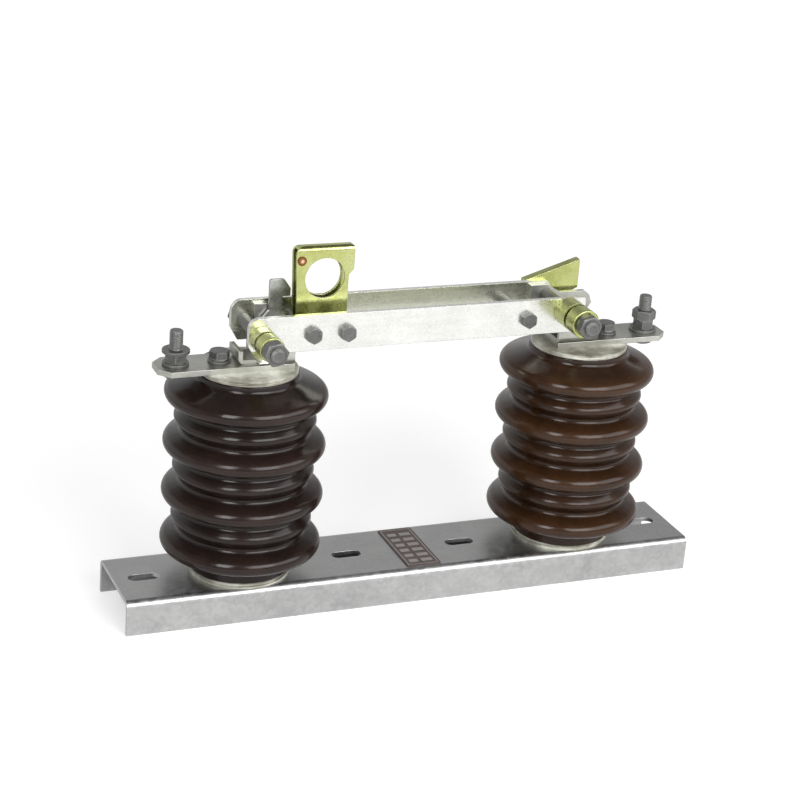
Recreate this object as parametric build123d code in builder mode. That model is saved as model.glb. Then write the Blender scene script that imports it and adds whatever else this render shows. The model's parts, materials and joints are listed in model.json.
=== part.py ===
"""Single-pole outdoor knife disconnect switch on a channel base.

Frame: X along the base with the jaw end at -X, -Y towards the spring packs,
+Z up, origin on the underside of the base midway between the insulators.
All lengths are in millimetres.
"""
import os

from build123d import *

# ---- base -----------------------------------------------------------------
base_length = 546.0
base_width = 90.0
base_height = 32.0
base_sheet = 3.5
base_bend = 6.0
web_underside = base_height - base_sheet
slot_centres = (-246.0, -56.0, 56.0, 246.0)
slot_length = 28.0
slot_width = 12.0
nameplate_x = 5.5
nameplate_width = 33.0
nameplate_depth = 76.0
nameplate_sheet = 0.8

# ---- insulators -----------------------------------------------------------
insulator_offset = 159.0
foot_radius = 45.0
foot_height = 5.0
rim_count = 7
rim_pitch = 23.1
first_rim_z = 61.8
shed_radius = 71.0
shed_round = 7.5
rib_radius = 62.0
rib_round = 5.5
core_radius = 53.0
groove_round = 4.0
neck_radius = 45.0
cap_z = 221.0
cap_radius = 44.0
cap_top = 225.0
seat_edge = 1.0
seat_bolt_radius = 6.0
seat_bolt_grip = 16.0
strap_bolt_grip = 12.0
blind_hole_spare = 2.0

# ---- fasteners: across flats, heights and washers -------------------------
stud_head_flats = 18.0
stud_head_height = 6.0
strap_head_flats = 16.0
strap_head_height = 6.4
strap_washer = (10.0, 2.0)
strap_lock_washer = (8.6, 1.8)
seat_head_flats = 18.0
seat_head_height = 7.5
seat_washer = (12.0, 2.5)
tie_head_flats = 13.0
tie_head_depth = 6.5
tie_nut_depth = 5.5
tie_bolt_spare = 2.5
sleeve_radius = 6.0
cross_head_flats = 18.0
cross_head_depth = 7.5
cross_nut_flats = 19.0
cross_washer = (11.0, 2.5)
cross_lock_washer = (9.5, 1.5)
cross_bolt_spare = 4.0
slip_hole = 0.5
close_hole = 0.2
fitted_hole = 0.1
running_hole = 0.05

# ---- current path ---------------------------------------------------------
strap_thickness = 5.0
strap_half_width = 19.0
strap_chamfer = 10.0
stud_offset = 223.5
strap_end = 241.5
strap_inner_left = 123.0
strap_inner_right = 128.5
strap_top = cap_top + strap_thickness
outer_bolt_offset = 185.0
inner_bolt_offset = 136.0
strap_bolt_radius = 5.0
stud_radius = 6.0
shank_radius = 5.4

contact_sheet = 4.0
contact_half_width = 21.7
contact_bend = 6.0
contact_base_top = strap_top + contact_sheet

# ---- blades ---------------------------------------------------------------
blade_left = -168.5
blade_right = 147.0
blade_bottom = 243.8
blade_height = 32.0
blade_inner = 22.0
blade_thickness = 5.0
blade_outer = blade_inner + blade_thickness
nose_round = 10.0
lip_right = -150.0
lip_bend_z = 246.8
lip_tip_z = 237.5
lip_flare = 5.5
jaw_bolt_x = -157.0
jaw_bolt_z = 258.0
hinge_x = 129.5
hinge_z = 264.0
cross_bolt_radius = 6.0
tie_bolt_radius = 4.0
latch_pivot_x = -111.0
tie_bolt_x = -80.0
rear_tie_bolt_x = 91.0
tie_bolt_z = 258.5

# ---- latch ----------------------------------------------------------------
eye_x = -95.0
eye_z = 301.0
eye_radius = 18.0
eye_left = -122.0
eye_right = -66.0
eye_waist = -70.5
eye_top = 329.5
eye_bottom = 249.0
eye_half_depth = 6.0
eye_sheet = 2.5
rear_ply_margin = 3.0
rivet_x = -116.8
rivet_z = 317.5


def hexagon(across_flats):
    """Circumscribed radius of a hexagon of this size."""
    return across_flats / 3**0.5


def upright(x, y=0.0, z=0.0):
    """Horizontal plane with its origin at this point."""
    return Plane(origin=(x, y, z), x_dir=(1, 0, 0), z_dir=(0, 0, 1))


def facing_front(x, y, z):
    """Vertical plane whose normal points to the front, -Y."""
    return Plane(origin=(x, y, z), x_dir=(1, 0, 0), z_dir=(0, -1, 0))


def save(builder, label):
    """Name one finished piece and write it out."""
    builder.part.label = label
    export_step(builder.part, f"parts/{label}.step")


os.makedirs("parts", exist_ok=True)

# ---- base channel ---------------------------------------------------------
with BuildPart() as base_channel:
    with BuildSketch(Plane.YZ.offset(-base_length / 2)) as channel_outside:
        Rectangle(base_width, base_height, align=(Align.CENTER, Align.MIN))
        fillet(channel_outside.vertices().group_by(Axis.Y)[-1], base_bend)
    extrude(amount=base_length)
    with BuildSketch(Plane.YZ.offset(-base_length / 2)) as channel_inside:
        Rectangle(
            base_width - 2 * base_sheet,
            base_height - base_sheet,
            align=(Align.CENTER, Align.MIN),
        )
        fillet(channel_inside.vertices().group_by(Axis.Y)[-1], base_bend - base_sheet)
    extrude(amount=base_length, mode=Mode.SUBTRACT)
    with BuildSketch(Plane.XY.offset(web_underside)):
        with Locations([(x, 0) for x in slot_centres]):
            SlotOverall(slot_length, slot_width)
        with Locations((-insulator_offset, 0), (insulator_offset, 0)):
            Circle(seat_bolt_radius + slip_hole)
    extrude(amount=base_sheet, mode=Mode.SUBTRACT)
save(base_channel, "base_channel")

with BuildPart() as nameplate:
    with BuildSketch(Plane.XY.offset(base_height)):
        with Locations((nameplate_x, 0)):
            RectangleRounded(nameplate_width, nameplate_depth, 2)
    extrude(amount=nameplate_sheet)
save(nameplate, "nameplate")


# ---- insulators -----------------------------------------------------------
def rim_corner(radius, rounding):
    """Sharp corner radius that leaves this rim radius once its edge is rounded."""
    rise = radius - core_radius - rounding
    ratio = (2 * rounding / rim_pitch) ** 2
    root = (rise**2 - (1 - ratio) * (rise**2 - rounding**2)) ** 0.5
    return core_radius + (rise + root) / (1 - ratio)


def insulator_outline():
    """Half section of the porcelain: deep sheds with a smaller rib between."""
    half_pitch = rim_pitch / 2
    bottom = base_height + foot_height
    points = [(0, bottom), (neck_radius, bottom), (neck_radius, first_rim_z - half_pitch - 5)]
    points.append((core_radius, first_rim_z - half_pitch))
    for number in range(rim_count):
        z = first_rim_z + number * rim_pitch
        if number % 2 == 0:
            points.append((rim_corner(shed_radius, shed_round), z))
        else:
            points.append((rim_corner(rib_radius, rib_round), z))
        points.append((core_radius, z + half_pitch))
    points.append((neck_radius, first_rim_z + (rim_count - 0.5) * rim_pitch + 3))
    points.append((neck_radius, cap_z))
    points.append((0, cap_z))
    return points


def insulator(x):
    """Turned porcelain post with its blind fixing holes."""
    outline = insulator_outline()
    shed_corner = rim_corner(shed_radius, shed_round)
    rib_corner = rim_corner(rib_radius, rib_round)
    side = 1 if x > 0 else -1
    with BuildPart() as post:
        with BuildSketch(facing_front(x, 0, 0)) as section:
            with BuildLine():
                Polyline(outline, close=True)
            make_face()
            sheds = section.vertices().filter_by(lambda v: abs(v.X - shed_corner) < 0.01)
            fillet(sheds, shed_round)
            ribs = section.vertices().filter_by(lambda v: abs(v.X - rib_corner) < 0.01)
            fillet(ribs, rib_round)
            grooves = section.vertices().filter_by(lambda v: abs(v.X - core_radius) < 0.01)
            fillet(grooves, groove_round)
        revolve(axis=Axis((x, 0, 0), (0, 0, 1)))
        with BuildSketch(upright(x, 0, base_height + foot_height)):
            Circle(seat_bolt_radius + close_hole)
        extrude(amount=seat_bolt_grip + blind_hole_spare, mode=Mode.SUBTRACT)
        with BuildSketch(upright(0, 0, cap_z)):
            with Locations((side * inner_bolt_offset, 0), (side * outer_bolt_offset, 0)):
                Circle(strap_bolt_radius + close_hole)
        extrude(amount=-strap_bolt_grip - blind_hole_spare, mode=Mode.SUBTRACT)
    return post


def ring(x, radius, low, high, holes, hole_radius):
    """Flat round seat with bolt holes and a broken top edge."""
    with BuildPart() as seat:
        with BuildSketch(upright(x, 0, low)):
            Circle(radius)
        extrude(amount=high - low)
        chamfer(seat.edges().filter_by(GeomType.CIRCLE).group_by(Axis.Z)[-1], seat_edge)
        with BuildSketch(upright(0, 0, low)):
            with Locations([(hole, 0) for hole in holes]):
                Circle(hole_radius)
        extrude(amount=high - low, mode=Mode.SUBTRACT)
    return seat


def seat_bolt(x):
    """Hexagon bolt and washer that hold an insulator from under the web."""
    washer_radius, washer_thickness = seat_washer
    with BuildPart() as bolt:
        with BuildSketch(upright(x, 0, web_underside)):
            Circle(washer_radius)
        extrude(amount=-washer_thickness)
        with BuildSketch(upright(x, 0, web_underside - washer_thickness)):
            RegularPolygon(hexagon(seat_head_flats), 6)
        extrude(amount=-seat_head_height)
        with BuildSketch(upright(x, 0, web_underside)):
            Circle(seat_bolt_radius)
        extrude(amount=base_sheet + foot_height + seat_bolt_grip)
    return bolt


# ---- straps, studs and their bolts ---------------------------------------
def strap(side, inner_offset):
    """Flat terminal strap with a clipped outer end."""
    inner = side * inner_offset
    outer = side * strap_end
    with BuildPart() as bar:
        with BuildSketch(Plane.XY.offset(cap_top)) as plan:
            with Locations(((inner + outer) / 2, 0)):
                Rectangle(abs(outer - inner), 2 * strap_half_width)
            ends = plan.vertices().sort_by(lambda v: side * v.X)[-2:]
            chamfer(ends, strap_chamfer)
        extrude(amount=strap_thickness)
        with BuildSketch(Plane.XY.offset(cap_top)):
            with Locations((side * inner_bolt_offset, 0), (side * outer_bolt_offset, 0)):
                Circle(strap_bolt_radius + slip_hole)
            with Locations((side * stud_offset, 0)):
                Circle(shank_radius + slip_hole)
        extrude(amount=strap_thickness, mode=Mode.SUBTRACT)
    return bar


def strap_bolts(side, inner_seat):
    """The outer bolt on the strap and the inner bolt on the contact."""
    with BuildPart() as bolts:
        for x, seat in ((outer_bolt_offset, strap_top), (inner_bolt_offset, inner_seat)):
            z = seat
            for washer_radius, washer_thickness in (strap_washer, strap_lock_washer):
                with BuildSketch(upright(side * x, 0, z)):
                    Circle(washer_radius)
                extrude(amount=washer_thickness)
                z += washer_thickness
            with BuildSketch(upright(side * x, 0, z)):
                RegularPolygon(hexagon(strap_head_flats), 6)
            extrude(amount=strap_head_height)
            with BuildSketch(upright(side * x, 0, z)):
                Circle(strap_bolt_radius)
            extrude(amount=cap_z - strap_bolt_grip - z)
    return bolts


def terminal_stud(side, nuts_top, stud_top):
    """Stud with its head under the strap, plain in the nuts and threaded above."""
    x = side * stud_offset
    with BuildPart() as stud:
        with BuildSketch(upright(x, 0, cap_top)):
            RegularPolygon(hexagon(stud_head_flats), 6)
        extrude(amount=-stud_head_height)
        with BuildSketch(upright(x, 0, cap_top - stud_head_height)):
            Circle(shank_radius)
        extrude(amount=nuts_top - cap_top + stud_head_height)
        with BuildSketch(upright(x, 0, nuts_top)):
            Circle(stud_radius)
        extrude(amount=stud_top - nuts_top)
        chamfer(stud.edges().filter_by(GeomType.CIRCLE).group_by(Axis.Z)[-1], 1)
    return stud


def terminal_nuts(side, layers):
    """Washers and nuts stacked on the stud, from the strap upwards."""
    x = side * stud_offset
    z = strap_top
    with BuildPart() as stack:
        for shape, size, height, turn in layers:
            with BuildSketch(upright(x, 0, z)):
                if shape == "round":
                    Circle(size)
                else:
                    RegularPolygon(hexagon(size), 6, rotation=turn)
            extrude(amount=height)
            z += height
        with BuildSketch(upright(x, 0, strap_top)):
            Circle(shank_radius + fitted_hole)
        extrude(amount=z - strap_top, mode=Mode.SUBTRACT)
    return stack


def contact_channel(low, high, top, front_waste, rear_waste, pin, pin_radius, bolt_x, toe):
    """Copper sheet bent to a U, its two ears standing inside the blades.

    The front and rear waste outlines shape the two ears. A toe, where there is
    one, runs on from the base of the U and turns up at its end.
    """
    depth = top - strap_top
    half_depth = contact_half_width + 1
    with BuildPart() as contact:
        with BuildSketch(Plane.YZ.offset(low)) as outside:
            with Locations((0, strap_top)):
                Rectangle(2 * contact_half_width, depth, align=(Align.CENTER, Align.MIN))
            fillet(outside.vertices().group_by(Axis.Y)[0], contact_bend)
        extrude(amount=high - low)
        with BuildSketch(Plane.YZ.offset(low)) as inside:
            with Locations((0, contact_base_top)):
                Rectangle(
                    2 * (contact_half_width - contact_sheet),
                    depth - contact_sheet,
                    align=(Align.CENTER, Align.MIN),
                )
            fillet(inside.vertices().group_by(Axis.Y)[0], contact_bend - contact_sheet)
        extrude(amount=high - low, mode=Mode.SUBTRACT)
        for start_y, waste in ((half_depth, rear_waste), (0, front_waste)):
            with BuildSketch(facing_front(0, start_y, 0)):
                for outline in waste:
                    with BuildLine():
                        Polyline(outline, close=True)
                    make_face()
                with Locations(pin):
                    Circle(pin_radius)
            extrude(amount=half_depth, mode=Mode.SUBTRACT)
        if toe:
            with BuildSketch(facing_front(0, toe_half_width, 0)) as bend:
                with BuildLine():
                    Polyline(
                        (low + 1, strap_top),
                        (toe, strap_top),
                        (toe, toe_top),
                        (toe + contact_sheet, toe_top),
                        (toe + contact_sheet, contact_base_top),
                        (low + 1, contact_base_top),
                        close=True,
                    )
                make_face()
                heel = bend.vertices().sort_by_distance((toe, strap_top, 0))[0]
                fillet(heel, contact_bend)
            extrude(amount=2 * toe_half_width)
        with BuildSketch(Plane.XY.offset(strap_top)):
            with Locations((bolt_x, 0)):
                Circle(strap_bolt_radius + slip_hole)
        extrude(amount=contact_sheet, mode=Mode.SUBTRACT)
    return contact


for side, name, strap_inner in (
    (-1, "left", strap_inner_left),
    (1, "right", strap_inner_right),
):
    save(insulator(side * insulator_offset), f"insulator_{name}")
    save(
        ring(
            side * insulator_offset,
            foot_radius,
            base_height,
            base_height + foot_height,
            (side * insulator_offset,),
            seat_bolt_radius + close_hole,
        ),
        f"insulator_foot_{name}",
    )
    save(
        ring(
            side * insulator_offset,
            cap_radius,
            cap_z,
            cap_top,
            (side * inner_bolt_offset, side * outer_bolt_offset),
            strap_bolt_radius + close_hole,
        ),
        f"insulator_cap_{name}",
    )
    save(seat_bolt(side * insulator_offset), f"seat_bolt_{name}")
    save(strap(side, strap_inner), f"terminal_strap_{name}")

# the jaw end carries one nut and a plate washer, the hinge end two nuts
jaw_layers = (
    ("round", 11.5, 2.5, 0),
    ("hex", 18, 8.5, 13),
    ("round", 12.0, 3.0, 0),
)
hinge_layers = (
    ("round", 12.5, 2.5, 0),
    ("hex", 18, 8.5, 0),
    ("hex", 19, 9.0, 30),
)
for side, name, layers, stud_top in (
    (-1, "left", jaw_layers, 261.0),
    (1, "right", hinge_layers, 263.5),
):
    nuts_top = strap_top + sum(layer[2] for layer in layers)
    save(terminal_stud(side, nuts_top, stud_top), f"terminal_stud_{name}")
    save(terminal_nuts(side, layers), f"terminal_nuts_{name}")

catch_sheet = 3.0
save(strap_bolts(-1, contact_base_top + catch_sheet), "strap_bolts_left")
save(strap_bolts(1, contact_base_top), "strap_bolts_right")

# ---- jaw contact: ears hollowed at one corner to seat the jaw bolt --------
jaw_low = -154.0
jaw_high = -124.0
jaw_top = 272.8
jaw_seat = 8.0
toe_left = -172.0
toe_top = 242.0
toe_half_width = 13.0
jaw_mouth = [
    (jaw_bolt_x - 6, jaw_bolt_z),
    (jaw_bolt_x + jaw_seat, jaw_bolt_z),
    (jaw_bolt_x + jaw_seat, jaw_top + 1),
    (jaw_bolt_x - 6, jaw_top + 1),
]
jaw_contact = contact_channel(
    jaw_low,
    jaw_high,
    jaw_top,
    [jaw_mouth],
    [jaw_mouth],
    (jaw_bolt_x, jaw_bolt_z),
    jaw_seat,
    -inner_bolt_offset,
    toe_left,
)
save(jaw_contact, "jaw_contact")

# ---- hinge contact: closed eyes on the hinge bolt, a long rear ear --------
hinge_low = 114.0
hinge_high = 177.0
hinge_heel_x = 127.0
hinge_toe_x = 166.0
hinge_wall = 9.5
hinge_top = hinge_z + hinge_wall
rear_ear_top = 265.5
base_lip_z = 241.0
hinge_heel = [
    (hinge_low - 1, strap_top - 1),
    (hinge_heel_x, strap_top - 1),
    (hinge_heel_x, base_lip_z),
    (hinge_low, base_lip_z + 11),
    (hinge_low - 1, base_lip_z + 11),
]
hinge_front = [
    (hinge_x + 1, hinge_top + 1),
    (hinge_x + 1, hinge_top),
    (hinge_x + 8.2, hinge_z + 4.8),
    (hinge_x + hinge_wall, hinge_z),
    (150, base_lip_z),
    (hinge_toe_x, base_lip_z),
    (hinge_toe_x, strap_top - 1),
    (hinge_high + 1, strap_top - 1),
    (hinge_high + 1, hinge_top + 1),
]
hinge_rear = [
    (hinge_x + 1, hinge_top + 1),
    (hinge_x + 1, hinge_top),
    (hinge_x + 14, rear_ear_top),
    (hinge_high - 8, rear_ear_top),
    (hinge_high - 3, rear_ear_top - 4),
    (hinge_high, rear_ear_top - 12),
    (hinge_toe_x, base_lip_z - 3),
    (hinge_toe_x, strap_top - 1),
    (hinge_high + 1, strap_top - 1),
    (hinge_high + 1, hinge_top + 1),
]
hinge_contact = contact_channel(
    hinge_low,
    hinge_high,
    hinge_top,
    [hinge_heel, hinge_front],
    [hinge_heel, hinge_rear],
    (hinge_x, hinge_z),
    cross_bolt_radius + running_hole,
    inner_bolt_offset,
    None,
)
save(hinge_contact, "hinge_contact")

# ---- latch catch: bent bracket under the inner jaw bolt -------------------
catch_rear = 16.5
catch_left = -144.0
catch_right = -128.0
with BuildPart() as latch_catch:
    with BuildSketch(facing_front(0, catch_rear, 0)) as hook:
        with BuildLine():
            Polyline(
                (catch_left, contact_base_top),
                (catch_right, contact_base_top),
                (catch_right, 256),
                (-125.5, 262),
                (-125.5, 280),
                (-118.5, 280),
                (-118.5, 287),
                (-124.5, 295.5),
                (-137.5, 295.5),
                (-137.5, 268),
                (catch_left, 260),
                close=True,
            )
        make_face()
        fillet(hook.vertices().group_by(Axis.Y)[-1], 2)
        fillet(hook.vertices().group_by(Axis.X)[-1], 1.5)
    extrude(amount=catch_sheet)
    with BuildSketch(Plane.XY.offset(contact_base_top)):
        with Locations(((catch_left + catch_right) / 2, catch_rear)):
            Rectangle(catch_right - catch_left, 26.5, align=(Align.CENTER, Align.MAX))
    extrude(amount=catch_sheet)
    heel = latch_catch.edges().filter_by(
        lambda e: abs(e.center().Z - contact_base_top) < 0.1 and e.center().Y > catch_rear - 0.1
    )
    fillet(heel, catch_sheet)
    with BuildSketch(Plane.XY.offset(contact_base_top)):
        with Locations((-inner_bolt_offset, 0)):
            Circle(strap_bolt_radius + slip_hole)
    extrude(amount=catch_sheet, mode=Mode.SUBTRACT)
save(latch_catch, "latch_catch")


# ---- blades ---------------------------------------------------------------
def blade(side, clip):
    """One copper bar: round nose, flared lead-in lip under it, bolt holes."""
    length = blade_right - blade_left
    middle = (blade_left + blade_right) / 2
    top = blade_bottom + blade_height
    inner = side * blade_inner
    outer = side * blade_outer
    rear_face = max(inner, outer)
    with BuildPart() as bar:
        with BuildSketch(facing_front(0, rear_face, 0)) as outline:
            with Locations((middle, blade_bottom + blade_height / 2)):
                Rectangle(length, blade_height)
            fillet(outline.vertices().sort_by_distance((blade_left, top, 0))[0], nose_round)
            fillet(outline.vertices().group_by(Axis.X)[-1], 2.5)
            with Locations((lip_right, blade_bottom)):
                Rectangle(
                    lip_right - blade_left + 1,
                    lip_bend_z - blade_bottom,
                    align=(Align.MAX, Align.MIN),
                    mode=Mode.SUBTRACT,
                )
            if clip:
                with BuildLine():
                    Polyline((131, top + 1), (150, top + 1), (150, 262), (143, 262), close=True)
                make_face(mode=Mode.SUBTRACT)
            for x, z, radius in (
                (jaw_bolt_x, jaw_bolt_z, cross_bolt_radius),
                (hinge_x, hinge_z, cross_bolt_radius),
                (latch_pivot_x, tie_bolt_z, tie_bolt_radius),
                (tie_bolt_x, tie_bolt_z, tie_bolt_radius),
                (rear_tie_bolt_x, tie_bolt_z, tie_bolt_radius),
            ):
                with Locations((x, z)):
                    Circle(radius + fitted_hole, mode=Mode.SUBTRACT)
        extrude(amount=blade_thickness)
        with BuildSketch(Plane.YZ.offset(blade_left)):
            with BuildLine():
                Polyline(
                    (inner, lip_bend_z),
                    (outer, lip_bend_z),
                    (outer + side * lip_flare, lip_tip_z),
                    (inner + side * lip_flare, lip_tip_z),
                    close=True,
                )
            make_face()
        extrude(amount=lip_right - blade_left)
        # the lip and the nose above it end on one slant
        with BuildSketch(facing_front(0, rear_face + lip_flare + 1, 0)):
            with BuildLine():
                Polyline(
                    (blade_left - 1, lip_bend_z + 6),
                    (blade_left - 1, lip_tip_z - 1),
                    (blade_left + 9, lip_tip_z - 1),
                    close=True,
                )
            make_face()
        extrude(amount=blade_thickness + 2 * lip_flare + 2, mode=Mode.SUBTRACT)
    return bar


save(blade(-1, False), "blade_front")
save(blade(1, True), "blade_rear")


def stack_forward(x, z, start_y, turn, layers):
    """Round and hexagon layers stacked towards the front from a start face."""
    with BuildPart() as pile:
        y = start_y
        for shape, size, depth in layers:
            with BuildSketch(facing_front(x, y, z)):
                if shape == "round":
                    Circle(size)
                else:
                    RegularPolygon(hexagon(size), 6, rotation=turn)
            extrude(amount=depth)
            y -= depth
    return pile


def tie_bolt(x, sleeve_inner):
    """Through bolt with its nut, head and the sleeves that space the blades."""
    sleeve = blade_inner - sleeve_inner
    return stack_forward(
        x,
        tie_bolt_z,
        blade_outer + tie_head_depth + tie_bolt_spare,
        30,
        (
            ("round", tie_bolt_radius, tie_bolt_spare),
            ("hex", tie_head_flats, tie_head_depth),
            ("round", tie_bolt_radius, blade_thickness),
            ("round", sleeve_radius, sleeve),
            ("round", tie_bolt_radius, 2 * sleeve_inner),
            ("round", sleeve_radius, sleeve),
            ("round", tie_bolt_radius, blade_thickness),
            ("hex", tie_head_flats, tie_nut_depth),
        ),
    )


save(tie_bolt(latch_pivot_x, eye_half_depth + 1), "latch_pivot_bolt")
save(tie_bolt(tie_bolt_x, 2), "tie_bolt_left")
save(tie_bolt(rear_tie_bolt_x, 2), "tie_bolt_right")

# ---- spring packs ---------------------------------------------------------
cup_wall = 1.6
wire_width = 2.2
wire_depth = 2.0
coil_play = 0.4
end_turn = 1.2
end_turn_play = 0.2


def spring_pack(x, z, cup_radius, inner_length, gap, outer_length, turns):
    """Two facing cups on the cross bolt with a flat-wire spring shut between them."""
    length = inner_length + gap + outer_length
    rear = -blade_outer
    front = rear - length
    coil_outside = cup_radius - cup_wall - coil_play
    coil_inset = cup_wall + end_turn_play + wire_width / 2
    coil_length = length - 2 * coil_inset
    with BuildPart() as pack:
        for start, depth in ((rear, inner_length), (rear - inner_length - gap, outer_length)):
            with BuildSketch(facing_front(x, start, z)):
                Circle(cup_radius)
            extrude(amount=depth)
        closed_ends = pack.edges().filter_by(GeomType.CIRCLE).group_by(Axis.Y)
        fillet(closed_ends[0] + closed_ends[-1], 1.0)
        with BuildSketch(facing_front(x, rear - cup_wall, z)):
            Circle(cup_radius - cup_wall)
        extrude(amount=length - 2 * cup_wall, mode=Mode.SUBTRACT)
        with BuildSketch(facing_front(x, rear, z)):
            Circle(cross_bolt_radius + fitted_hole)
        extrude(amount=length, mode=Mode.SUBTRACT)
        # the closed end turns bear on the bottoms of the cups
        for seat in (rear - cup_wall, front + cup_wall + end_turn):
            with BuildSketch(facing_front(x, seat, z)):
                Circle(coil_outside + end_turn_play)
                Circle(coil_outside - wire_depth - end_turn_play, mode=Mode.SUBTRACT)
            extrude(amount=end_turn)
        with BuildLine() as coil:
            Helix(
                pitch=coil_length / turns,
                height=coil_length,
                radius=coil_outside - wire_depth / 2,
                center=(x, rear - coil_inset, z),
                direction=(0, -1, 0),
            )
        wire = Plane(origin=coil.line @ 0, x_dir=(0, 1, 0), z_dir=coil.line % 0)
        with BuildSketch(wire):
            Rectangle(wire_width, wire_depth)
        sweep(path=coil.line, is_frenet=True)
    return pack


def cross_bolt(x, z, rear_seat, pack_length, nut_depth):
    """Bolt across both blades: head at the rear, lock nut at the front."""
    return stack_forward(
        x,
        z,
        rear_seat + cross_head_depth + cross_washer[1],
        10,
        (
            ("hex", cross_head_flats, cross_head_depth),
            ("round", *cross_washer),
            ("round", cross_bolt_radius, rear_seat + blade_outer + pack_length),
            ("round", *cross_lock_washer),
            ("hex", cross_nut_flats, nut_depth),
            ("round", cross_bolt_radius, cross_bolt_spare),
        ),
    )


stop_sheet = 2.5
save(spring_pack(jaw_bolt_x, jaw_bolt_z, 11.0, 12, 4, 13, 5.5), "spring_pack_jaw")
save(spring_pack(hinge_x, hinge_z, 13.0, 18.5, 4.5, 14.5, 6.5), "spring_pack_hinge")
save(cross_bolt(jaw_bolt_x, jaw_bolt_z, blade_outer, 29, 10.5), "jaw_bolt")
save(cross_bolt(hinge_x, hinge_z, blade_outer + stop_sheet, 37.5, 8.5), "hinge_bolt")

# ---- stop plate: clamped behind the rear blade, top edge folded back ------
stop_left = 112.0
stop_right = 166.0
stop_top_left = 275.5
stop_top_right = 292.5
stop_fold = 6.0
stop_rear = blade_outer + stop_sheet
with BuildPart() as stop_plate:
    with BuildSketch(facing_front(0, stop_rear, 0)):
        with BuildLine():
            Polyline(
                (stop_left, 256),
                (stop_left, stop_top_left),
                (stop_right, stop_top_right),
                (stop_right, 266),
                (146, 256),
                close=True,
            )
        make_face()
        with Locations((hinge_x, hinge_z)):
            Circle(cross_bolt_radius + fitted_hole, mode=Mode.SUBTRACT)
    extrude(amount=stop_sheet)
    with BuildSketch(facing_front(0, stop_rear + stop_fold, 0)):
        with BuildLine():
            Polyline(
                (stop_left, stop_top_left),
                (stop_right, stop_top_right),
                (stop_right, stop_top_right - stop_sheet),
                (stop_left, stop_top_left - stop_sheet),
                close=True,
            )
        make_face()
    extrude(amount=stop_fold + stop_sheet)
save(stop_plate, "stop_plate")

# ---- latch eye: sheet folded over the top, both plies pierced -------------
eye_length = eye_right - eye_left
eye_height = eye_top - eye_bottom
with BuildPart() as eye_plate:
    with BuildSketch(Plane.YZ.offset(eye_left)) as fold:
        with Locations((0, eye_bottom)):
            Rectangle(2 * eye_half_depth, eye_height, align=(Align.CENTER, Align.MIN))
        fillet(fold.vertices().group_by(Axis.Y)[-1], 4)
    extrude(amount=eye_length)
    with BuildSketch(Plane.YZ.offset(eye_left)) as gap:
        with Locations((0, eye_bottom)):
            Rectangle(
                2 * (eye_half_depth - eye_sheet),
                eye_height - eye_sheet,
                align=(Align.CENTER, Align.MIN),
            )
        fillet(gap.vertices().group_by(Axis.Y)[-1], 1.5)
    extrude(amount=eye_length, mode=Mode.SUBTRACT)
    with BuildSketch(facing_front(0, eye_half_depth + 1, 0)) as outline:
        with BuildLine():
            Polyline(
                (eye_left + 3, 257),
                (-115, eye_bottom),
                (-102, eye_bottom),
                (-95, 269.5),
                (eye_waist, 269.5),
                (eye_waist, 303),
                (eye_right, 308),
                (eye_right, eye_top),
                (eye_left, eye_top),
                close=True,
            )
        make_face()
        fillet(outline.vertices().group_by(Axis.Y)[-1], 7)
        with Locations((eye_x, eye_z)):
            Circle(eye_radius, mode=Mode.SUBTRACT)
        with Locations((latch_pivot_x, tie_bolt_z)):
            Circle(tie_bolt_radius + running_hole, mode=Mode.SUBTRACT)
    extrude(amount=2 * eye_half_depth + 2, mode=Mode.INTERSECT)
    # the front ply stops short of the rear one
    with BuildSketch(facing_front(0, 0, 0)):
        with BuildLine():
            Polyline(
                (eye_waist - rear_ply_margin, 268),
                (eye_waist - rear_ply_margin, 303),
                (eye_right - rear_ply_margin, 308),
                (eye_right - rear_ply_margin, eye_top + 1),
                (eye_right + 1, eye_top + 1),
                (eye_right + 1, 268),
                close=True,
            )
        make_face()
    extrude(amount=eye_half_depth + 1, mode=Mode.SUBTRACT)
save(eye_plate, "eye_plate")

with BuildPart() as eye_rivet:
    with BuildSketch(facing_front(rivet_x, -eye_half_depth, rivet_z)):
        Circle(4)
    extrude(amount=1.5)
    chamfer(eye_rivet.edges().group_by(Axis.Y)[0], 0.6)
    with BuildSketch(facing_front(rivet_x, eye_half_depth, rivet_z)):
        Circle(2.5)
    extrude(amount=-1.5)
save(eye_rivet, "eye_rivet")
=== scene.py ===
"""Knife disconnect switch: materials, fastener detail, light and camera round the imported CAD."""
import json
import math

import bmesh
import bpy
from mathutils import Matrix, Vector


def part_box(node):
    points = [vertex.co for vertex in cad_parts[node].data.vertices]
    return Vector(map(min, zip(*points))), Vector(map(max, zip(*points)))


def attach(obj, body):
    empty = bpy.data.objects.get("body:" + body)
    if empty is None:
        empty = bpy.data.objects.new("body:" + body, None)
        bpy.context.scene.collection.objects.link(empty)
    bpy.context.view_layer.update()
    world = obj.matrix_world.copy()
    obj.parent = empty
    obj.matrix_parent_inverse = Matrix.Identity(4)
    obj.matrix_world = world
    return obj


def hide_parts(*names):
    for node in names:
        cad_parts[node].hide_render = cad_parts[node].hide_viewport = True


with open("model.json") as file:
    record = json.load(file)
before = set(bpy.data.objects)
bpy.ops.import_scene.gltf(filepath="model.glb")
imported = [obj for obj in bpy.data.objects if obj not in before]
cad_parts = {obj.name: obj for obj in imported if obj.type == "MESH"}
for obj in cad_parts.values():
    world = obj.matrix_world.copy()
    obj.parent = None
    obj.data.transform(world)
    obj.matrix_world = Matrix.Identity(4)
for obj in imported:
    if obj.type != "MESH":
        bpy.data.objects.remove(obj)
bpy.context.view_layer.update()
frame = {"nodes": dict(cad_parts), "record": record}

mm = 0.001


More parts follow.
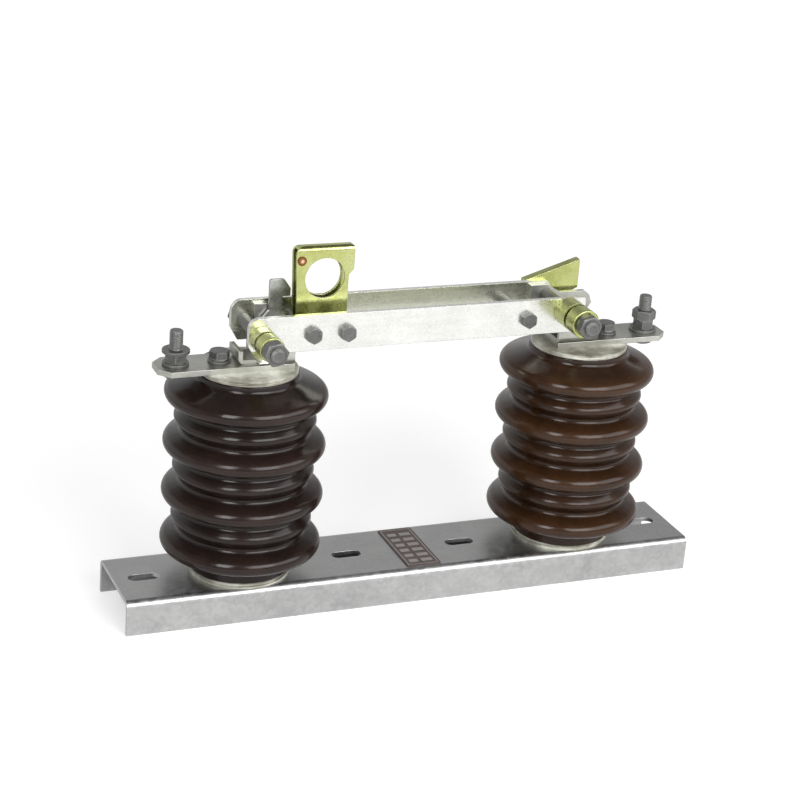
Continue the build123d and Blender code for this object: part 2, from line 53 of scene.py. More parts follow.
# ---- material building ----------------------------------------------------
class Graph:
    """Short calls for building a node tree."""

    def __init__(self, tree):
        self.tree = tree

    def node(self, kind, **settings):
        made = self.tree.nodes.new(kind)
        for key, value in settings.items():
            setattr(made, key, value)
        return made

    def feed(self, target, value):
        """Put a number, a colour or another node's output into a socket."""
        if isinstance(value, bpy.types.NodeSocket):
            self.tree.links.new(value, target)
        elif isinstance(value, (tuple, list)) and len(value) == 3 and target.type == "RGBA":
            target.default_value = (*value, 1)
        else:
            target.default_value = value

    def parts(self, vector):
        """The X, Y and Z outputs of a vector."""
        made = self.node("ShaderNodeSeparateXYZ")
        self.feed(made.inputs["Vector"], vector)
        return made.outputs

    def vector(self, operation, first, second=(0, 0, 0)):
        made = self.node("ShaderNodeVectorMath", operation=operation)
        self.feed(made.inputs[0], first)
        self.feed(made.inputs[1], second)
        return made.outputs["Value" if operation in ("LENGTH", "DOT_PRODUCT") else "Vector"]

    def math(self, operation, first, second=0.0, third=0.0):
        made = self.node("ShaderNodeMath", operation=operation)
        for target, value in zip(made.inputs, (first, second, third)):
            self.feed(target, value)
        return made.outputs["Value"]

    def mix(self, factor, first, second, blend="MIX"):
        made = self.node("ShaderNodeMix", data_type="RGBA", blend_type=blend)
        sockets = [socket for socket in made.inputs if socket.type == "RGBA"]
        self.feed(made.inputs["Factor"], factor)
        self.feed(sockets[0], first)
        self.feed(sockets[1], second)
        return [socket for socket in made.outputs if socket.type == "RGBA"][0]

    def ramp(self, source, stops):
        """Map 0..1 through (position, value or colour) stops."""
        made = self.node("ShaderNodeValToRGB")
        band = made.color_ramp
        while len(band.elements) < len(stops):
            band.elements.new(0.5)
        for element, (position, value) in zip(band.elements, stops):
            element.position = position
            shade = value if isinstance(value, tuple) else (value, value, value)
            element.color = (*shade, 1)
        self.feed(made.inputs["Fac"], source)
        return made.outputs["Color"]

    def remap(self, source, start, end, to_start=0.0, to_end=1.0):
        """Map one range onto another, held at both ends."""
        made = self.node("ShaderNodeMapRange")
        for name, value in (
            ("Value", source),
            ("From Min", start),
            ("From Max", end),
            ("To Min", to_start),
            ("To Max", to_end),
        ):
            self.feed(made.inputs[name], value)
        return made.outputs["Result"]


class Surface(Graph):
    """A Principled material and the nodes that drive its colour, gloss and relief."""

    def __init__(self, name, settings):
        self.material = bpy.data.materials.new(name)
        self.material.use_nodes = True
        super().__init__(self.material.node_tree)
        self.shader = self.tree.nodes["Principled BSDF"]
        for socket, value in settings.items():
            self.feed(self.shader.inputs[socket], value)
        self.place = self.node("ShaderNodeTexCoord").outputs["Object"]
        self.normal = None

    def stretched(self, stretch):
        mapping = self.node("ShaderNodeMapping")
        self.feed(mapping.inputs["Vector"], self.place)
        self.feed(mapping.inputs["Scale"], stretch)
        return mapping.outputs["Vector"]

    def noise(self, scale, detail=4.0, roughness=0.55, stretch=(1, 1, 1), distortion=0.0):
        texture = self.node("ShaderNodeTexNoise")
        self.feed(texture.inputs["Vector"], self.stretched(stretch))
        self.feed(texture.inputs["Scale"], scale)
        self.feed(texture.inputs["Detail"], detail)
        self.feed(texture.inputs["Roughness"], roughness)
        self.feed(texture.inputs["Distortion"], distortion)
        return texture.outputs["Fac"]

    def cells(self, scale):
        """A random grey for each crystal-like cell."""
        texture = self.node("ShaderNodeTexVoronoi")
        self.feed(texture.inputs["Vector"], self.place)
        self.feed(texture.inputs["Scale"], scale)
        split = self.node("ShaderNodeSeparateColor")
        self.feed(split.inputs["Color"], texture.outputs["Color"])
        return split.outputs["Red"]

    def axis(self, name):
        return self.parts(self.place)[name]

    def soft_edges(self, radius):
        """Round every sharp edge in the shading."""
        made = self.node("ShaderNodeBevel", samples=6)
        self.feed(made.inputs["Radius"], radius)
        self.normal = made.outputs["Normal"]

    def relief(self, height, distance, strength=1.0):
        """Add one layer of bump, its depth in metres."""
        made = self.node("ShaderNodeBump")
        self.feed(made.inputs["Strength"], strength)
        self.feed(made.inputs["Distance"], distance)
        self.feed(made.inputs["Height"], height)
        if self.normal is not None:
            self.feed(made.inputs["Normal"], self.normal)
        self.normal = made.outputs["Normal"]

    def edge_mask(self, radius, sharpness=6.0):
        """1 at the corners of the form, 0 on its faces."""
        rounded = self.node("ShaderNodeBevel", samples=6)
        self.feed(rounded.inputs["Radius"], radius)
        flat = self.node("ShaderNodeNewGeometry").outputs["Normal"]
        turned = self.math("SUBTRACT", 1.0, self.vector("DOT_PRODUCT", rounded.outputs["Normal"], flat))
        made = self.node("ShaderNodeMath", operation="MULTIPLY", use_clamp=True)
        self.feed(made.inputs[0], turned)
        self.feed(made.inputs[1], sharpness)
        return made.outputs["Value"]

    def done(self, colour, roughness):
        self.feed(self.shader.inputs["Base Color"], colour)
        self.feed(self.shader.inputs["Roughness"], roughness)
        self.feed(self.shader.inputs["Normal"], self.normal)
        return self.material


def plated_metal(name, dark, light, gloss, grain, grain_stretch, edge, film=None):
    """Plated metal: cloudy tone, fine drawn grain, small pits and its own tone along the edges.

    A film, where there is one, is painted shade: a darker olive tone laid in patches on the faces
    between the two blades.
    """
    look = Surface(name, {"Metallic": 1.0})
    look.soft_edges(0.5 * mm)
    cloud = look.noise(38, 5, 0.6)
    streak = look.noise(grain, 3, 0.6, grain_stretch)
    blotch = look.noise(160, 3, 0.65)
    tone = look.math("MULTIPLY_ADD", cloud, 0.55, look.math("MULTIPLY", streak, 0.30))
    tone = look.math("MULTIPLY_ADD", blotch, 0.15, tone)
    colour = look.ramp(tone, [(0.36, dark), (0.62, light)])
    colour = look.mix(look.edge_mask(0.8 * mm), colour, edge)
    if film is not None:
        # painted shade: the faces between the two blades are toned darker olive, in patches
        between_blades = 22.3 * mm
        inside = look.math("LESS_THAN", look.math("ABSOLUTE", look.axis("Y")), between_blades)
        spread = look.ramp(cloud, [(0.30, 0.75), (0.62, 1.0)])
        colour = look.mix(look.math("MULTIPLY", inside, spread), colour, film)
    rough = look.ramp(look.mix(0.5, streak, blotch), [(0.3, gloss[0]), (0.7, gloss[1])])
    look.relief(streak, 0.00003, 0.5)
    look.relief(look.noise(900, 2, 0.6), 0.00002, 0.5)
    return look.done(colour, rough)


def galvanised(name, dark, light, gloss, spangle_scale, edge, metallic=1.0):
    """Zinc coat: crystal spangle over a cloudy grey, with faint drips in the coat."""
    look = Surface(name, {"Metallic": metallic})
    look.soft_edges(0.6 * mm)
    cloud = look.noise(22, 6, 0.62, distortion=0.4)
    spangle = look.cells(spangle_scale)
    fine = look.noise(420, 3, 0.7)
    tone = look.math("MULTIPLY_ADD", cloud, 0.62, look.math("MULTIPLY", spangle, 0.16))
    tone = look.math("MULTIPLY_ADD", fine, 0.22, tone)
    colour = look.ramp(tone, [(0.30, dark), (0.66, light)])
    colour = look.mix(look.edge_mask(1.0 * mm), colour, edge)
    rough = look.ramp(look.mix(0.4, cloud, spangle), [(0.25, gloss[0]), (0.75, gloss[1])])
    look.relief(look.noise(55, 3, 0.5, (1, 1, 1.6)), 0.0003, 0.35)
    look.relief(fine, 0.00003, 0.5)
    return look.done(colour, rough)


def glaze(name, deep, thin, crest):
    """Brown glaze: nearly black where it lies thick, redder where it thins over the rims."""
    look = Surface(name, {"IOR": 1.5, "Specular IOR Level": 0.32})
    cloud = look.noise(26, 5, 0.6, distortion=0.6)
    speck = look.noise(520, 2, 0.6)
    run = look.noise(40, 4, 0.6, (3.0, 3.0, 0.5))
    tone = look.math("MULTIPLY_ADD", cloud, 0.6, look.math("MULTIPLY", run, 0.4))
    colour = look.ramp(tone, [(0.34, deep), (0.66, thin)])
    # distance from the axis of whichever post the point is on
    post_axis = 159 * mm
    from_axis = look.node("ShaderNodeCombineXYZ")
    along = look.math("SUBTRACT", look.math("ABSOLUTE", look.axis("X")), post_axis)
    look.feed(from_axis.inputs["X"], along)
    look.feed(from_axis.inputs["Y"], look.axis("Y"))
    radius = look.vector("LENGTH", from_axis.outputs["Vector"])
    near_rim = look.remap(radius, 58 * mm, 71 * mm)
    worn = look.math("MULTIPLY", near_rim, look.ramp(cloud, [(0.35, 0.3), (0.7, 1.0)]))
    colour = look.mix(worn, colour, crest)
    pin_holes = look.ramp(speck, [(0.70, 0.0), (0.76, 1.0)])
    colour = look.mix(look.math("MULTIPLY", pin_holes, 0.5), colour, deep)
    rough = look.ramp(cloud, [(0.3, 0.15), (0.7, 0.24)])
    look.relief(look.noise(85, 2, 0.5), 0.0006, 0.30)
    look.relief(look.noise(300, 2, 0.5), 0.00008, 0.35)
    return look.done(colour, rough)


def seat_cement():
    """Pale bedding ring: slightly yellow, pitted, rubbed smoother on its flat."""
    look = Surface("insulator_cement", {"Metallic": 0.35})
    look.soft_edges(0.6 * mm)
    cloud = look.noise(70, 5, 0.65)
    grit = look.noise(700, 3, 0.7)
    smear = look.noise(38, 4, 0.6, (0.5, 0.5, 12.0))
    tone = look.math("MULTIPLY_ADD", cloud, 0.35, look.math("MULTIPLY", smear, 0.65))
    colour = look.ramp(
        tone,
        [(0.38, (0.11, 0.105, 0.075)), (0.50, (0.34, 0.33, 0.27)), (0.61, (0.68, 0.69, 0.62))],
    )
    colour = look.mix(look.ramp(grit, [(0.62, 0.0), (0.72, 0.45)]), colour, (0.20, 0.18, 0.12))
    rough = look.ramp(grit, [(0.3, 0.34), (0.7, 0.55)])
    look.relief(grit, 0.00008, 0.5)
    look.relief(smear, 0.00025, 0.4)
    return look.done(colour, rough)


def yellow_passivate():
    """Yellow chromate over zinc: clouded yellow-green, paler where it is thin at the edges."""
    look = Surface("yellow_zinc", {"Metallic": 1.0})
    look.soft_edges(0.5 * mm)
    cloud = look.noise(48, 5, 0.6, distortion=0.5)
    film = look.noise(130, 4, 0.6)
    colour = look.ramp(
        look.mix(0.35, cloud, film),
        [(0.30, (0.31, 0.335, 0.095)), (0.50, (0.46, 0.49, 0.185)), (0.66, (0.53, 0.56, 0.28))],
    )
    colour = look.mix(look.edge_mask(0.7 * mm), colour, (0.70, 0.71, 0.46))
    rust_tint = look.ramp(film, [(0.60, 0.0), (0.75, 0.35)])
    colour = look.mix(rust_tint, colour, (0.62, 0.50, 0.18))
    rough = look.ramp(film, [(0.3, 0.20), (0.7, 0.36)])
    look.relief(look.noise(500, 3, 0.6), 0.00002, 0.35)
    return look.done(colour, rough)


def rivet_copper():
    """Copper rivet: brown round its edge, pale pink in its middle."""
    look = Surface("copper_rivet", {"Metallic": 0.85})
    look.soft_edges(0.4 * mm)
    low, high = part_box("eye_rivet")
    centre = [(a + b) / 2 for a, b in zip(low, high)]
    across = look.vector("MULTIPLY", look.vector("SUBTRACT", look.place, centre), (1, 0, 1))
    wander = look.math("MULTIPLY", look.noise(600, 3, 0.6), 0.0012)
    radius = look.math("ADD", look.vector("LENGTH", across), wander)
    head_radius = 4.8 * mm
    band = look.math("DIVIDE", radius, head_radius)
    colour = look.ramp(
        band,
        [(0.30, (0.74, 0.50, 0.34)), (0.56, (0.30, 0.115, 0.040)), (0.88, (0.17, 0.060, 0.022))],
    )
    rough = look.ramp(band, [(0.3, 0.25), (0.6, 0.45)])
    look.relief(look.noise(900, 2, 0.6), 0.00003, 0.6)
    return look.done(colour, rough)


def blank_label():
    """Dark plate with a pale frame and empty panels, scuffed; it carries no words."""
    look = Surface("blank_plate", {"Metallic": 0.4})
    look.soft_edges(0.3 * mm)
    low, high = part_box("nameplate")
    x = look.math("DIVIDE", look.math("SUBTRACT", look.axis("X"), low[0]), high[0] - low[0])
    y = look.math("DIVIDE", look.math("SUBTRACT", look.axis("Y"), low[1]), high[1] - low[1])

    def band(coordinate, start, end):
        above = look.math("GREATER_THAN", coordinate, start)
        below = look.math("LESS_THAN", coordinate, end)
        return look.math("MULTIPLY", above, below)

    def panel(x_start, x_end, y_start, y_end):
        return look.math("MULTIPLY", band(x, x_start, x_end), band(y, y_start, y_end))

    outer = panel(0.055, 0.945, 0.025, 0.975)
    inner = panel(0.085, 0.915, 0.038, 0.962)
    panels = look.math("SUBTRACT", outer, inner)
    first_row, row_step, row_height = 0.09, 0.142, 0.075
    for row in range(6):
        start = first_row + row * row_step
        for left, right in ((0.16, 0.42), (0.52, 0.84)):
            panels = look.math("ADD", panels, panel(left, right, start, start + row_height))
    scuff = look.noise(2600, 2, 0.6)
    wear = look.ramp(scuff, [(0.36, 0.0), (0.64, 1.0)])
    ink = look.mix(look.noise(120, 4, 0.6), (0.050, 0.034, 0.034), (0.125, 0.090, 0.085))
    print_tone = look.mix(wear, (0.22, 0.20, 0.19), (0.42, 0.40, 0.38))
    colour = look.mix(look.math("MULTIPLY", panels, 0.85), ink, print_tone)
    rough = look.ramp(scuff, [(0.3, 0.30), (0.7, 0.55)])
    look.relief(panels, 0.00005, 0.4)
    look.relief(scuff, 0.00003, 0.5)
    return look.done(colour, rough)


looks = {
    "galvanised_channel": galvanised(
        "galvanised_channel",
        dark=(0.42, 0.42, 0.42),
        light=(0.60, 0.60, 0.595),
        gloss=(0.32, 0.46),
        spangle_scale=260,
        edge=(0.72, 0.72, 0.72),
    ),
    "catch_steel": galvanised(
        "catch_steel",
        dark=(0.30, 0.31, 0.29),
        light=(0.62, 0.63, 0.60),
        gloss=(0.28, 0.42),
        spangle_scale=500,
        edge=(0.75, 0.75, 0.73),
    ),
    "galvanised_hardware": galvanised(
        "galvanised_hardware",
        dark=(0.062, 0.062, 0.060),
        light=(0.165, 0.165, 0.160),
        gloss=(0.30, 0.46),
        spangle_scale=900,
        edge=(0.36, 0.36, 0.35),
        metallic=0.55,
    ),
    "plated_copper": plated_metal(
        "plated_copper",
        dark=(0.38, 0.38, 0.34),
        light=(0.58, 0.58, 0.54),
        gloss=(0.32, 0.46),
        grain=90,
        grain_stretch=(0.4, 3.0, 3.0),
        edge=(0.80, 0.79, 0.72),
    ),
    "plated_blade": plated_metal(
        "plated_blade",
        dark=(0.66, 0.66, 0.63),
        light=(0.80, 0.80, 0.77),
        gloss=(0.22, 0.33),
        grain=70,
        grain_stretch=(0.25, 3.0, 4.0),
        edge=(0.60, 0.60, 0.56),
        # painted shade: darker olive tone on the faces between the two blades
        film=(0.70, 0.71, 0.60),
    ),
    "brown_glaze_dark": glaze(
        "brown_glaze_dark",
        deep=(0.007, 0.0045, 0.004),
        thin=(0.015, 0.0085, 0.007),
        crest=(0.022, 0.012, 0.009),
    ),
    "brown_glaze_red": glaze(
        "brown_glaze_red",
        deep=(0.013, 0.0056, 0.0024),
        thin=(0.027, 0.0115, 0.0048),
        crest=(0.043, 0.019, 0.0078),
    ),
    "insulator_cement": seat_cement(),
    "yellow_zinc": yellow_passivate(),
    "copper_rivet": rivet_copper(),
    "blank_plate": blank_label(),
}
for part in frame["record"]["subparts"]:
    slots = frame["nodes"][part["node"]].data.materials
    slots.clear()
    slots.append(looks[part["material_slot"]])


# ---- fasteners ------------------------------------------------------------
around = 96  # steps round a turned form


class Stack:
    """Rods, washers and hexagons piled along one axis as a single mesh."""

    def __init__(self, origin, axis, up):
        side = Vector(up).cross(Vector(axis))
        self.frame = Matrix((side, up, axis)).transposed().to_4x4()
        self.frame.translation = Vector(origin)
        self.form = bmesh.new()
        self.height = 0.0

    def turned(self, radius_at, levels, cap=True):
        """Skin rings whose radius depends on the angle, with flat end caps."""
        rings = []
        for level in levels:
            ring = []
            for step in range(around):
                angle = math.tau * step / around
                radius, height = radius_at(angle, level)
                point = (radius * math.cos(angle), radius * math.sin(angle), height)
                ring.append(self.form.verts.new(point))
            rings.append(ring)
        for low_ring, high_ring in zip(rings, rings[1:]):
            for step in range(around):
                after = (step + 1) % around
                corners = (low_ring[step], low_ring[after], high_ring[after], high_ring[step])
                self.form.faces.new(corners)
        if cap:
            self.form.faces.new(list(reversed(rings[0])))
            self.form.faces.new(rings[-1])

    def rod(self, radius, length, chamfer=0.3):
        base = self.height
        profile = (
            (radius - chamfer, base),
            (radius, base + chamfer),
            (radius, base + length - chamfer),
            (radius - chamfer, base + length),
        )
        self.turned(lambda angle, level: profile[level], range(4))
        self.height += length

    def thread(self, radius, length, pitch, chamfer=1.0, free_low=False):
        """Rod with a helical V thread, chamfered at its free end."""
        base = self.height
        depth = 0.55 * pitch
        rings_per_turn = 10
        count = int(length / pitch * rings_per_turn)

        def crest(angle, level):
            height = length * level / count
            phase = (height / pitch - angle / math.tau) % 1.0
            form = min(1.0, max(0.0, 1.25 - 2.5 * abs(phase - 0.5)))
            limit = radius - max(0.0, chamfer - (height if free_low else length - height))
            return min(radius - depth * form, limit), base + height

        self.turned(crest, range(count + 1))
        self.height += length

    def hexagon(self, flats, length, turn=0.0, chamfer_low=True, chamfer_high=True):
        """Hexagon with the 30 degree chamfer cut across its corners."""
        base = self.height
        face = flats / 2
        edge = 0.96 * face
        plain_step = 0.05
        sixth = math.pi / 6

        def outline(angle, level):
            from_corner = (angle - math.radians(turn) + sixth) % (2 * sixth) - sixth
            radius = face / math.cos(sixth - abs(from_corner))
            drop = (radius - edge) * math.tan(sixth)
            if level == 0:
                return (edge if chamfer_low else radius), base
            if level == 1:
                return radius, base + (drop if chamfer_low else plain_step)
            if level == 2:
                return radius, base + length - (drop if chamfer_high else plain_step)
            return (edge if chamfer_high else radius), base + length

        self.turned(outline, range(4))
        self.height += length

    def washer(self, radius, length, bore):
        """Flat washer with slightly rolled edges."""
        base = self.height
        roll = min(0.35, length / 4)
        profile = (
            (bore, base),
            (radius - roll, base),
            (radius, base + roll),
            (radius, base + length - roll),
            (radius - roll, base + length),
            (bore, base + length),
            (bore, base),
        )
        self.turned(lambda angle, level: profile[level], range(7), cap=False)
        self.height += length

    def lock_washer(self, radius, length, bore):
        """Spring washer of square wire, split once on the slant."""
        base = self.height
        gap = math.radians(9)
        slant = 0.18 * length
        count = 72
        rings = []
        for step in range(count + 1):
            part = step / count
            angle = gap / 2 + (math.tau - gap) * part
            lift = slant * (part - 0.5)
            low = base + slant / 2 + lift
            high = base + length - slant / 2 + lift
            ring = [
                self.form.verts.new((r * math.cos(angle), r * math.sin(angle), z))
                for r, z in ((bore, low), (radius, low), (radius, high), (bore, high))
            ]
            rings.append(ring)
        for first, second in zip(rings, rings[1:]):
            for corner in range(4):
                after = (corner + 1) % 4
                self.form.faces.new((first[corner], second[corner], second[after], first[after]))
        self.form.faces.new(list(rings[0]))
        self.form.faces.new(list(reversed(rings[-1])))
        self.height += length


def rounded(corners):
    """Half section as points, each (radius, height, rounding) corner cut to an arc."""
    points = []
    for before, corner, after in zip([corners[0]] + corners, corners, corners[1:] + [corners[-1]]):
        here = Vector(corner[:2])
        if corner[2] == 0:
            points.append(here)
            continue
        to_before = (Vector(before[:2]) - here).normalized()
        to_after = (Vector(after[:2]) - here).normalized()
        half = to_before.angle(to_after) / 2
        start = here + to_before * corner[2] / math.tan(half)
        end = here + to_after * corner[2] / math.tan(half)
        centre = here + (to_before + to_after).normalized() * corner[2] / math.sin(half)
        sweep = math.pi - 2 * half
        count = max(3, round(math.degrees(sweep) / 9))
        for step in range(count + 1):
            part = step / count
            blend = (start - centre) * math.sin((1 - part) * sweep)
            blend += (end - centre) * math.sin(part * sweep)
            points.append(centre + blend / math.sin(sweep))
    return points


def rim_corner(radius, rounding, core, pitch):
    """Sharp corner radius that leaves this rim radius once its edge is rounded."""
    rise = radius - core - rounding
    ratio = (2 * rounding / pitch) ** 2
    root = (rise**2 - (1 - ratio) * (rise**2 - rounding**2)) ** 0.5
    return core + (rise + root) / (1 - ratio)


def middle(node):
    """Middle of a node's box in millimetres."""
    low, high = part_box(node)
    return [(a + b) / 2 / mm for a, b in zip(low, high)]


def reach(node):
    """Lowest and highest corners of a node in millimetres."""
    low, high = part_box(node)
    return [a / mm for a in low], [b / mm for b in high]


def place_piece(name, mesh, slot, body, node, sharp):
    """Shade a mesh smooth up to an angle and put it in a CAD node's stead."""
    for face in mesh.polygons:
        face.use_smooth = True
    mesh.set_sharp_from_angle(angle=math.radians(sharp))
    piece = bpy.data.objects.new(name, mesh)
    bpy.context.collection.objects.link(piece)
    mesh.materials.append(looks[slot])
    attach(piece, body)
    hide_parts(node)


def turned_post(name, node, slot):
    """Porcelain post turned from its section, with soft hollows where the necks meet the sheds."""
    low, high = reach(node)
    x = middle(node)[0]
    pitch = 23.1
    first_shed = 24.8
    core, neck, root_rounding = 53.0, 45.0, 4.0
    rims = ((70.95, 7.5), (61.95, 5.5))  # radius and rounding of a shed and of a rib
    z = low[2] + first_shed
    corners = [
        (0.0, low[2], 0),
        (neck, low[2], 0.8),
        (neck, z - pitch / 2 - 5, root_rounding),
        (core, z - pitch / 2, root_rounding),
    ]
    for number in range(7):
        rim, rounding = rims[number % 2]
        corners.append((rim_corner(rim, rounding, core, pitch), z, rounding))
        corners.append((core, z + pitch / 2, root_rounding))
        z += pitch
    corners += [(neck, z - pitch / 2 + 3, 5.0), (neck, high[2], 1.2), (0.0, high[2], 0)]
    form = bmesh.new()
    steps = 160
    rings = []
    for point in rounded(corners):
        if point.x == 0:
            rings.append([form.verts.new((x, 0, point.y))])
            continue
        ring = []
        for step in range(steps):
            angle = math.tau * step / steps
            place = (x + point.x * math.cos(angle), point.x * math.sin(angle), point.y)
            ring.append(form.verts.new(place))
        rings.append(ring)
    for lower, upper in zip(rings, rings[1:]):
        for step in range(steps):
            after = (step + 1) % steps
            if len(lower) == 1:
                form.faces.new((lower[0], upper[after], upper[step]))
            elif len(upper) == 1:
                form.faces.new((lower[step], lower[after], upper[0]))
            else:
                form.faces.new((lower[step], lower[after], upper[after], upper[step]))
    bmesh.ops.scale(form, vec=(mm, mm, mm), verts=form.verts)
    mesh = bpy.data.meshes.new(name)
    form.to_mesh(mesh)
    form.free()
    place_piece(name, mesh, slot, "base", node, sharp=40)


def place_fastener(name, node, body, stacks):
    """Join stacks into one piece that stands for a CAD fastener."""
    joined = bmesh.new()
    for stack in stacks:
        bmesh.ops.scale(stack.form, vec=(mm, mm, mm), verts=stack.form.verts)
        stack.frame.translation *= mm
        stack.form.transform(stack.frame)
        mesh = bpy.data.meshes.new("part")
        stack.form.to_mesh(mesh)
        stack.form.free()
        joined.from_mesh(mesh)
        bpy.data.meshes.remove(mesh)
    bmesh.ops.recalc_face_normals(joined, faces=joined.faces)
    mesh = bpy.data.meshes.new(name)
    joined.to_mesh(mesh)
    joined.free()
    place_piece(name, mesh, "galvanised_hardware", body, node, sharp=25)


turned_post("glazed_post_left", "insulator_left", "brown_glaze_dark")
turned_post("glazed_post_right", "insulator_right", "brown_glaze_red")

# directions of a stack's axis and of its up side
up = (0, 0, 1)
back = (0, 1, 0)
front = (0, -1, 0)

m12, m10, m8 = 6.0, 5.0, 4.0  # radii of the bolts
m12_pitch, m8_pitch = 1.75, 1.25
press = 0.05  # chamfer too small to see, where a rod runs on into the next form

# studs: head under the strap, shank in the nuts, thread above them
stud_head = 6.0
strap_sheet = 5.0
shank_radius = 5.4
nut_bore = 5.5
left_pile = (("washer", 11.5, 2.5), ("hex", 18, 8.5, 13), ("washer", 12.0, 3.0))
right_pile = (("washer", 12.5, 2.5), ("hex", 18, 8.5, 0), ("hex", 19, 9.0, 30))
for name, items in (("left", left_pile), ("right", right_pile)):
    low, high = reach(f"terminal_stud_{name}")
    x = middle(f"terminal_stud_{name}")[0]
    shank = strap_sheet + sum(item[2] for item in items)
    stud = Stack((x, 0, low[2]), up, back)
    stud.hexagon(18, stud_head, 0, True, False)
    stud.rod(shank_radius, shank, press)
    stud.thread(m12, high[2] - low[2] - stud_head - shank, m12_pitch)
    place_fastener(f"threaded_stud_{name}", f"terminal_stud_{name}", "base", [stud])
    low, high = reach(f"terminal_nuts_{name}")
    pile = Stack((x, 0, low[2]), up, back)
    for item in items:
        if item[0] == "washer":
            pile.washer(item[1], item[2], nut_bore)
        else:
            pile.hexagon(item[1], item[2], item[3])
    place_fastener(f"stud_nuts_{name}", f"terminal_nuts_{name}", "base", [pile])

# strap bolts: flat washer, split lock washer and hexagon head
flat_washer, lock_washer, strap_head = 2.0, 1.8, 6.4
strap_top = 230.0
for name, side in (("left", -1), ("right", 1)):
    node = f"strap_bolts_{name}"
    low, high = reach(node)
    contact_top = high[2] - flat_washer - lock_washer - strap_head
    stacks = []
    for x, seat in ((185, strap_top), (136, contact_top)):
        shank = Stack((side * x, 0, low[2]), up, back)
        shank.rod(m10, seat + flat_washer + lock_washer - low[2], press)
        head = Stack((side * x, 0, seat), up, back)
        head.washer(10.0, flat_washer, m10)
        head.lock_washer(8.6, lock_washer, m10)
        head.hexagon(16, strap_head, 0, False, True)
        stacks += [shank, head]
    place_fastener(f"strap_screws_{name}", node, "base", stacks)

# bolts under the web that hold the insulators
m12_head, m12_washer = 7.5, 2.5
for name in ("left", "right"):
    node = f"seat_bolt_{name}"
    low, high = reach(node)
    bolt = Stack((middle(node)[0], 0, low[2]), up, back)
    bolt.hexagon(18, m12_head, 0, True, False)
    bolt.washer(12.0, m12_washer, m12)
    bolt.rod(m12, high[2] - low[2] - m12_head - m12_washer, press)
    place_fastener(f"seat_screw_{name}", node, "base", [bolt])

# tie bolts through both blades, with their spacing sleeves
blade_sheet = 5.0
between_blades = 44.0
for node, gap in (("latch_pivot_bolt", 7.0), ("tie_bolt_left", 2.0), ("tie_bolt_right", 2.0)):
    low, high = reach(node)
    x, _, z = middle(node)
    sleeve = between_blades / 2 - gap
    bolt = Stack((x, high[1], z), front, up)
    bolt.thread(m8, 2.5, m8_pitch, 0.5, free_low=True)
    bolt.hexagon(13, 6.5, 30, True, True)
    bolt.rod(m8, blade_sheet, press)
    bolt.rod(6.0, sleeve, 0.4)
    bolt.rod(m8, 2 * gap, press)
    bolt.rod(6.0, sleeve, 0.4)
    bolt.rod(m8, blade_sheet, press)
    bolt.hexagon(13, 5.5, 30, False, True)
    place_fastener(f"{node}_detail", node, "blades", [bolt])

# cross bolts: head and washer at the rear, lock washer, nut and bolt end at the front
spring_washer, bolt_end, bolt_turn = 1.5, 4.0, 10
end_trim = 0.01  # keeps the thread's last ring inside the CAD box
for node, nut in (("jaw_bolt", 10.5), ("hinge_bolt", 8.5)):
    low, high = reach(node)
    x, _, z = middle(node)
    shank = high[1] - low[1] - m12_head - m12_washer - spring_washer - nut - bolt_end
    bolt = Stack((x, high[1], z), front, up)
    bolt.hexagon(18, m12_head, bolt_turn, True, False)
    bolt.washer(11.0, m12_washer, m12)
    bolt.rod(m12, shank, press)
    bolt.lock_washer(9.5, spring_washer, m12)
    bolt.hexagon(19, nut, bolt_turn)
    bolt.thread(m12, bolt_end - end_trim, m12_pitch)
    place_fastener(f"{node}_detail", node, "blades", [bolt])

# ---- floor, world and lamps -----------------------------------------------
bpy.ops.mesh.primitive_plane_add(size=12, location=(0, 0, 0))
floor = bpy.context.object
floor.name = "floor"
sheet = Surface(
    "floor",
    {
        "Base Color": (0.66, 0.66, 0.66),
        "Roughness": 0.9,
        "Specular IOR Level": 0.1,
        "Emission Color": (1, 1, 1),
    },
)
# the glow shows to the camera, and a part of it in reflections
glossy_share = 0.2
rays = sheet.node("ShaderNodeLightPath").outputs
seen = sheet.math("MULTIPLY_ADD", rays["Is Glossy Ray"], glossy_share, rays["Is Camera Ray"])
# painted shadow: the floor's glow is left off under the channel, so the floor reads dark there
half_length, half_width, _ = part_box("base_channel")[1]
end_fade, side_fade = 0.14, 0.006
clear = sheet.math(
    "MAXIMUM",
    sheet.remap(sheet.math("ABSOLUTE", sheet.axis("X")), half_length - end_fade, half_length),
    sheet.remap(sheet.math("ABSOLUTE", sheet.axis("Y")), half_width - side_fade, half_width),
)
# a little more glow far off, where the lamps no longer reach
far = sheet.remap(sheet.vector("LENGTH", sheet.place), 0.4, 1.8, 0.43, 0.66)
glow = sheet.math("MULTIPLY", seen, sheet.math("MULTIPLY", clear, far))
sheet.feed(sheet.shader.inputs["Emission Strength"], glow)
floor.data.materials.append(sheet.material)

world = bpy.data.worlds.new("studio")
bpy.context.scene.world = world
world.use_nodes = True
sky = Graph(world.node_tree)
heading = sky.node("ShaderNodeTexCoord").outputs["Generated"]
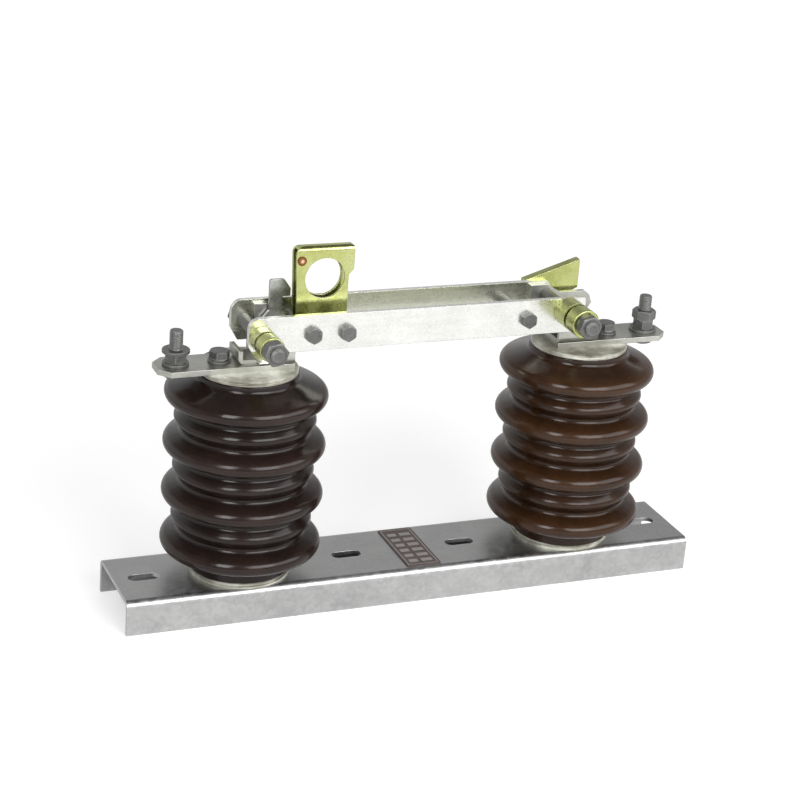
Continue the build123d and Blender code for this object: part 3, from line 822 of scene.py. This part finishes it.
# reflections: bright at the horizon, dark overhead, darker in front and at the right
rise = sky.ramp(sky.parts(heading)["Z"], [(0.0, 1.0), (0.42, 0.80), (0.62, 0.16)])
in_front = sky.remap(sky.vector("DOT_PRODUCT", heading, (-0.40, -0.916, 0.0)), 0.1, 0.8, 1.0, 0.25)
at_right = sky.remap(sky.parts(heading)["X"], 0.30, 0.60, 1.0, 0.55)
studio = sky.mix(1.0, rise, sky.math("MULTIPLY", in_front, at_right), "MULTIPLY")
# everything else gets a plain grey, and the camera white
rays = sky.node("ShaderNodeLightPath").outputs
lit = sky.mix(rays["Is Glossy Ray"], (0.54, 0.54, 0.54), studio)
viewed = sky.mix(rays["Is Camera Ray"], lit, (1, 1, 1))
background = sky.tree.nodes["Background"]
sky.feed(background.inputs["Color"], viewed)
sky.feed(background.inputs["Strength"], 1.0)


def soft_box(name, azimuth, width, power):
    """Tall rectangular lamp aimed down at the middle of the object."""
    target = Vector((0, 0, 0.16))
    distance, height = 1.7, 1.0
    turn = math.radians(azimuth)
    tilt = math.radians(30)
    level = math.cos(tilt)
    offset = Vector((math.sin(turn) * level, -math.cos(turn) * level, math.sin(tilt)))
    data = bpy.data.lights.new(name, "AREA")
    data.shape = "RECTANGLE"
    data.size = width
    data.size_y = height
    data.energy = power
    lamp = bpy.data.objects.new(name, data)
    lamp.location = target + offset * distance
    lamp.rotation_euler = offset.to_track_quat("Z", "Y").to_euler()
    bpy.context.collection.objects.link(lamp)


soft_box("lamp_left", azimuth=-45, width=0.50, power=13)
soft_box("lamp_middle", azimuth=9, width=1.0, power=19)
soft_box("lamp_right", azimuth=50, width=1.3, power=12)

# ---- camera: place, directions in degrees and lens as fitted to the photograph ----
camera_place = (-0.71918, -1.6125, 0.87929)
heading_right, pitch_down, roll_left = 23.609, 21.680, 4.341
camera_data = bpy.data.cameras.new("camera")
camera = bpy.data.objects.new("camera", camera_data)
bpy.context.collection.objects.link(camera)
camera_data.sensor_width = 36
camera_data.lens = 95.67
turn = Matrix.Rotation(math.radians(-heading_right), 4, "Z")
tilt = Matrix.Rotation(math.radians(90 - pitch_down), 4, "X")
roll = Matrix.Rotation(math.radians(roll_left), 4, "Z")
camera.matrix_world = Matrix.Translation(camera_place) @ turn @ tilt @ roll
bpy.context.scene.camera = camera

bpy.context.scene.view_settings.view_transform = "Standard"
